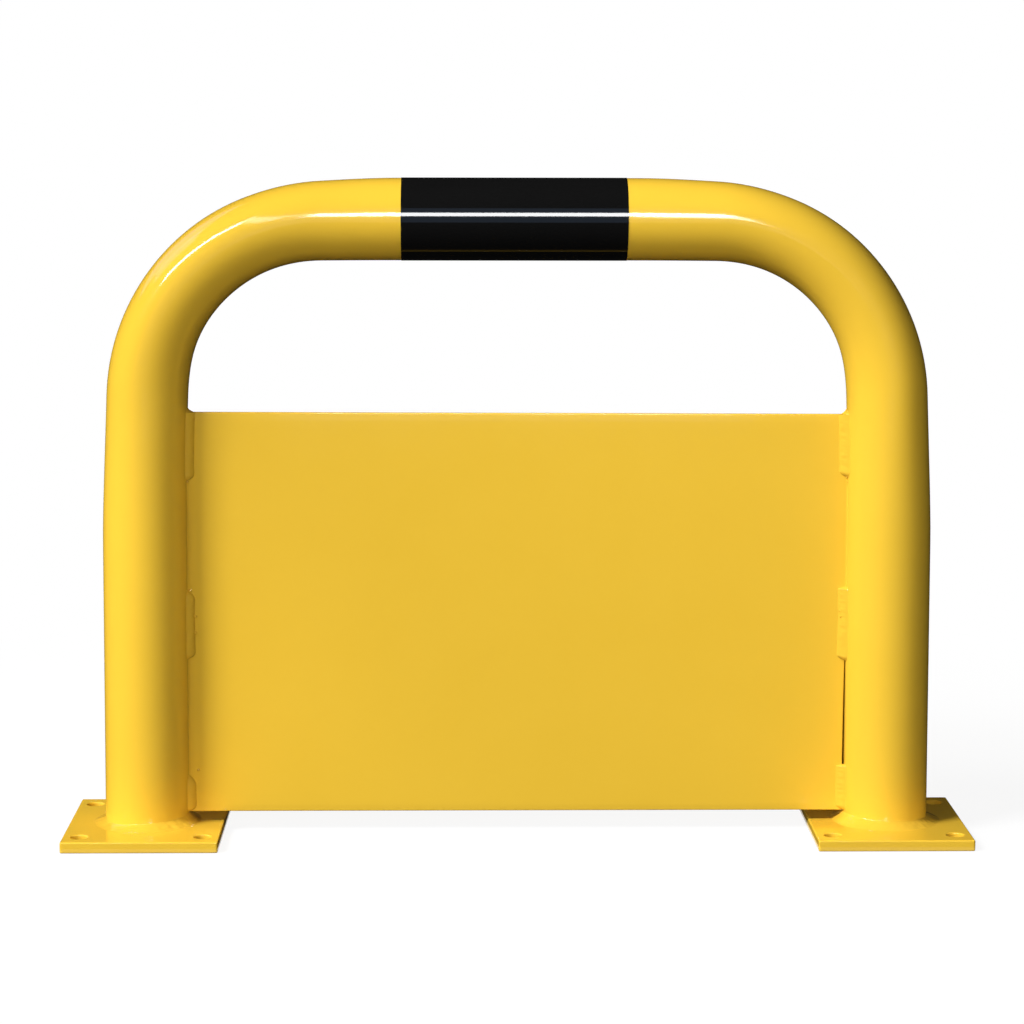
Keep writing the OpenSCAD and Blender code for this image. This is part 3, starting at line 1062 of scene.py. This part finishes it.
lamps = [
    hang_lamp("key_softbox", (-4.21, -3.06, 4.98), HOOP_MIDDLE, (1.8, 1.8), 468),
    hang_lamp("side_softbox", (-5.54, -2.47, 3.80), HOOP_MIDDLE, (3.0, 3.0), 180),
    hang_lamp("left_fill", (-1.35, -3.70, 0.99), HOOP_MIDDLE, (2.4, 2.4), 45),
    hang_lamp("right_fill", (1.35, -3.70, 0.99), HOOP_MIDDLE, (2.4, 2.4), 39),
    hang_lamp("rear_fill", (-0.80, 3.90, 0.45), HOOP_MIDDLE, (3.0, 0.9), 63),
    hang_lamp("bar_line", (0.07, -2.90, 1.25), BAR_MIDDLE, (0.76, 0.52), 49, mirrored=True),
    hang_lamp("bar_line_end", (0.44, -2.90, 1.05), BAR_MIDDLE, (0.26, 0.60), 6.5, mirrored=True),
    hang_lamp("bar_haze", (0.05, -3.00, 1.15), BAR_MIDDLE, (0.95, 2.3), 5.3, mirrored=True,
              tint=HAZE_BLUE),
    hang_lamp("link_line", (-1.17, -2.90, 2.60), (-0.22, 0, 0.56), (2.6, 0.25), 16, mirrored=True,
              tilt=-54),
    hang_lamp("bend_line", (-1.81, -1.34, 2.02), (-0.29, -0.03, 0.52), (1.46, 0.28), 40, mirrored=True,
              tilt=29.6),
    hang_lamp("rear_window", (-2.23, 0.43, 2.07), SHOULDER, (0.95, 0.85), 5.4, mirrored=True,
              tint=SKY_BLUE),
    hang_lamp("rear_window_rim", (-1.90, 1.25, 1.95), SHOULDER, (1.2, 1.4), 6.5, mirrored=True,
              tint=SKY_BLUE),
]
for lamp in lamps:
    print(lamp.name, "at", [round(c, 2) for c in lamp.location])

# %% [markdown]
# The left bend faces the key lamp squarely and would turn a thin lemon yellow. Photographers hold back
# such a spot with a dot, a little round flag on a wire: it stands so far in front of the bend that its
# shadow has no edge at all and only takes some light away.

# %% Hold the dot before the left bend
DOT_RADIUS, DOT_AWAY, DOT_SIDES = 0.067, 0.8, 32
SHADED = (-0.31, -0.02, 0.53)


def leave_to_lamps(thing):
    """Hides a thing from the camera and from mirrors, so that it only holds back the lamps' light."""
    thing.visible_camera = thing.visible_diffuse = False
    thing.visible_glossy = thing.visible_transmission = False
    thing.data.materials.append(black_cloth)


def hold_dot(lamp):
    """A round flag between a lamp and the shaded point."""
    to_lamp = (lamp.location - Vector(SHADED)).normalized()
    mesh = bpy.data.meshes.new("dot_flag")
    turns = [2 * math.pi * k / DOT_SIDES for k in range(DOT_SIDES)]
    rim = [(DOT_RADIUS * math.cos(turn), DOT_RADIUS * math.sin(turn), 0) for turn in turns]
    mesh.from_pydata(rim, [], [tuple(range(DOT_SIDES))])
    dot = put_in_scene("dot_flag", mesh)
    dot.location = Vector(SHADED) + to_lamp * DOT_AWAY
    dot.rotation_euler = to_lamp.to_track_quat("Z", "Y").to_euler()
    leave_to_lamps(dot)
    return dot


dot = hold_dot(lamps[0])
print("dot stands at", [round(c, 2) for c in dot.location])

# %% [markdown]
# The fills stand low, so they shine right under the sheet onto the back half of each foot plate. In the
# photograph that wedge of plate is nearly black, with a crisp edge just below the sheet. A strip of
# black card in the gap between plate and sheet does that, and like the dot it is seen by the lamps
# alone.

# %% Stand two cards in the gap under the sheet
CARD_REACH, CARD_TUCK = 37 * MM, 1 * MM
CARD_CLEAR = 0.1 * MM


def stand_card(side):
    """A strip of card from the leg to just past the plate's edge, in the sheet's middle plane."""
    inner, outer = side * (LEG_X - TUBE - CARD_REACH), side * (LEG_X - TUBE + CARD_TUCK)
    low, high = PLATE_TOP + CARD_CLEAR, sheet_low.z - CARD_CLEAR
    mesh = bpy.data.meshes.new("gap_card")
    corners = [(inner, 0, low), (outer, 0, low), (outer, 0, high), (inner, 0, high)]
    mesh.from_pydata(corners, [], [(0, 1, 2, 3)])
    card = put_in_scene("gap_card", mesh)
    leave_to_lamps(card)
    return card


cards = [stand_card(side) for side in (-1, 1)]
print(len(cards), "cards fill a gap of", round((sheet_low.z - PLATE_TOP) * 1000, 1), "mm")

# %% [markdown]
# ## Colours
# The colours are shown as they are, with no film look.

# %% Show the colours as they are
bpy.context.scene.view_settings.view_transform = "Standard"
